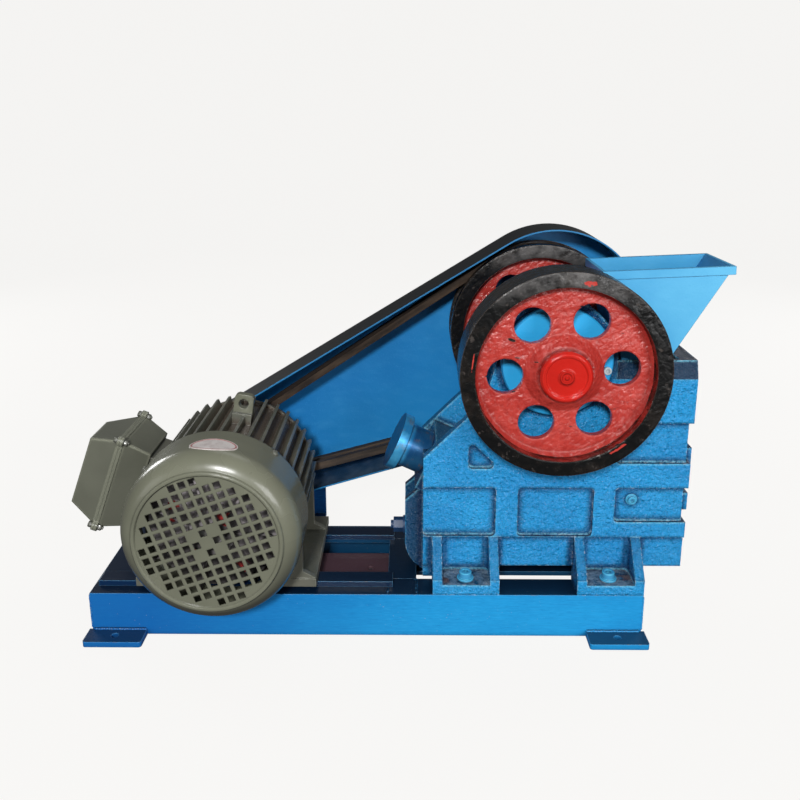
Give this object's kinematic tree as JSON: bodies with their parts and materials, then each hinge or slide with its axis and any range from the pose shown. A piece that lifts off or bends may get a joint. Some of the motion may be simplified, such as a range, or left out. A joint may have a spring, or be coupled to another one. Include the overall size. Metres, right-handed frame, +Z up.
{
  "type": "jaw crusher",
  "caption": "Small jaw crusher on a channel base with its motor, V-belt drive, two flywheels, guard and feed hopper.",
  "frame": {"origin": "on the floor, at the centre of the four anchor holes", "axes": "+X along the base from the motor to the feed end, +Y away from the front flywheel, +Z up"},
  "size_m": [0.9022, 0.3425, 0.54],
  "materials": {
    "blue_enamel": "gloss enamel over cast and rolled steel",
    "red_wheel": "red enamel web, black rim",
    "red_cap": "gloss red",
    "motor_grey": "gloss grey-green enamel",
    "fan_plastic": "matte",
    "belt_rubber": "matte",
    "steel": "machined",
    "manganese_steel": "as cast",
    "bare_iron": "machined",
    "worn_blue": "worn blue over machined steel",
    "primer_brown": "red-brown primer"
  },
  "bodies": {
    "base_and_frame": {"channel_front": "blue_enamel", "channel_rear": "blue_enamel", "cross_member_left": "blue_enamel", "cross_member_middle": "blue_enamel", "cross_member_right": "blue_enamel", "centre_bar": "primer_brown", "motor_rail_front": "blue_enamel", "motor_rail_rear": "blue_enamel", "foot_plate_front_left": "blue_enamel", "foot_plate_front_right": "blue_enamel", "foot_plate_rear_left": "blue_enamel", "foot_plate_rear_right": "blue_enamel", "crusher_frame": "blue_enamel", "bearing_cover_front": "blue_enamel", "bearing_cover_rear": "blue_enamel", "swing_jaw": "blue_enamel", "jaw_plate_moving": "manganese_steel", "jaw_plate_fixed": "manganese_steel", "cheek_plate_front": "manganese_steel", "cheek_plate_rear": "manganese_steel", "toggle_plate": "steel", "toggle_block": "steel", "adjusting_cap": "worn_blue", "tension_rod": "steel", "hopper": "blue_enamel", "belt_front": "belt_rubber", "belt_rear": "belt_rubber", "guard": "blue_enamel", "guard_bracket": "blue_enamel", "guard_stay": "blue_enamel", "motor_frame": "motor_grey", "motor_shield_drive": "motor_grey", "motor_shield_fan": "motor_grey", "fan_cowl": "motor_grey", "terminal_box_base": "motor_grey", "terminal_box_lid": "motor_grey", "lifting_lug": "motor_grey"},
    "crusher_rotor": {"eccentric_shaft": "steel", "flywheel_front": "red_wheel", "flywheel_sheave": "red_wheel", "hub_cap": "red_cap"},
    "motor_rotor": {"motor_shaft": "steel", "motor_fan": "fan_plastic", "motor_pulley": "bare_iron"}
  },
  "joints": [
    {"name": "crusher_spin", "type": "hinge", "parent": "base_and_frame", "child": "crusher_rotor", "pos_m": [0.252, 0, 0.388], "axis": [0, 1, 0], "continuous": true},
    {"name": "motor_spin", "type": "hinge", "parent": "base_and_frame", "child": "motor_rotor", "pos_m": [-0.192, 0, 0.183], "axis": [0, 1, 0], "continuous": true}
  ],
  "couplings": [
    {"joint": "motor_spin", "follows": "crusher_spin", "ratio": 2.6882}
  ]
}
